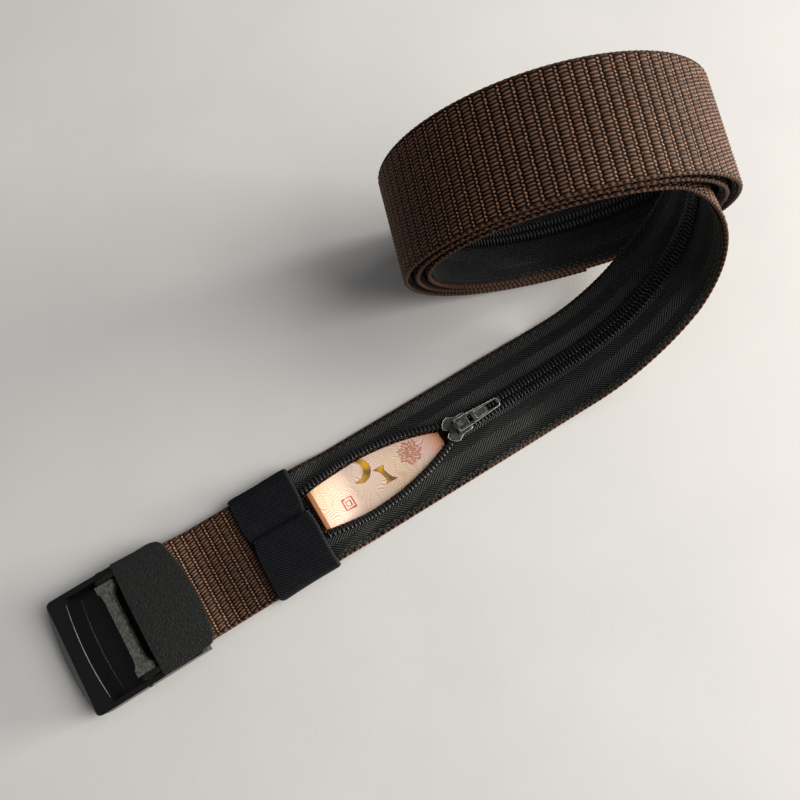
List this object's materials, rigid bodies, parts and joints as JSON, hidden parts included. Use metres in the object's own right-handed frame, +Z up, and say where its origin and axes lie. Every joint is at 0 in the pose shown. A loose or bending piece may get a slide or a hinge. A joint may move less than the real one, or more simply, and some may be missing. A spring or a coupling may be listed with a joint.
{
  "type": "money belt",
  "caption": "Webbing travel belt with a hidden zip pocket on its inner face, a plastic cam buckle and an elastic keeper, lying part rolled up.",
  "frame": {"origin": "centre of the base of the whole object's box, on the surface it lies on", "axes": "+X along the flat part of the belt from the buckle to the roll, +Y across the belt to the side where the roll stands, +Z up"},
  "size_m": [0.2834, 0.1036, 0.101],
  "materials": {
    "buckle_plastic": "satin black with a pebbled cover",
    "pin_plastic": "smooth black",
    "webbing": "ribbed brown nylon weave",
    "brown_thread": "bonded nylon thread",
    "elastic": "fine ribbed elastic",
    "zip_tape": "herringbone twill",
    "zip_coil": "satin nylon",
    "black_thread": "polyester thread",
    "slider_metal": "dark gunmetal coating",
    "note_paper": "printed cotton paper"
  },
  "bodies": {
    "belt": {"buckle_frame": "buckle_plastic", "lever_pin_far": "pin_plastic", "lever_pin_near": "pin_plastic", "strap_webbing": "webbing", "fold_stitch_front": "brown_thread", "fold_stitch_rear": "brown_thread", "zip_tape_far": "zip_tape", "zip_tape_near": "zip_tape", "zip_coil_far": "zip_coil", "zip_coil_near": "zip_coil", "tape_stitch_far": "black_thread", "tape_stitch_near": "black_thread", "zip_tack_front": "black_thread", "zip_tack_tail": "black_thread"},
    "lever": {"buckle_lever": "buckle_plastic", "buckle_clamp_bar": "buckle_plastic"},
    "keeper": {"keeper_band": "elastic", "keeper_stitch": "black_thread"},
    "slider": {"zip_slider": "slider_metal"},
    "puller": {"zip_puller": "slider_metal"},
    "note": {"folded_note": "note_paper"}
  },
  "joints": [
    {"name": "lever_hinge", "type": "hinge", "parent": "belt", "child": "lever", "pos_m": [-0.11867, -0.02991, 0.00629], "axis": [0, -1, 0], "range_deg": [0, 75]},
    {"name": "keeper_slide", "type": "slide", "parent": "belt", "child": "keeper", "axis": [1, 0, 0], "range_m": [-0.021, 0]},
    {"name": "slider_travel", "type": "slide", "parent": "belt", "child": "slider", "axis": [1, 0, 0], "range_m": [-0.037, 0.008]},
    {"name": "puller_hinge", "type": "hinge", "parent": "slider", "child": "puller", "pos_m": [0.01783, -0.02991, 0.00804], "axis": [0, -1, 0], "range_deg": [0, 170]},
    {"name": "note_lift", "type": "slide", "parent": "belt", "child": "note", "axis": [0, 0, 1], "range_m": [0, 0.03]}
  ]
}
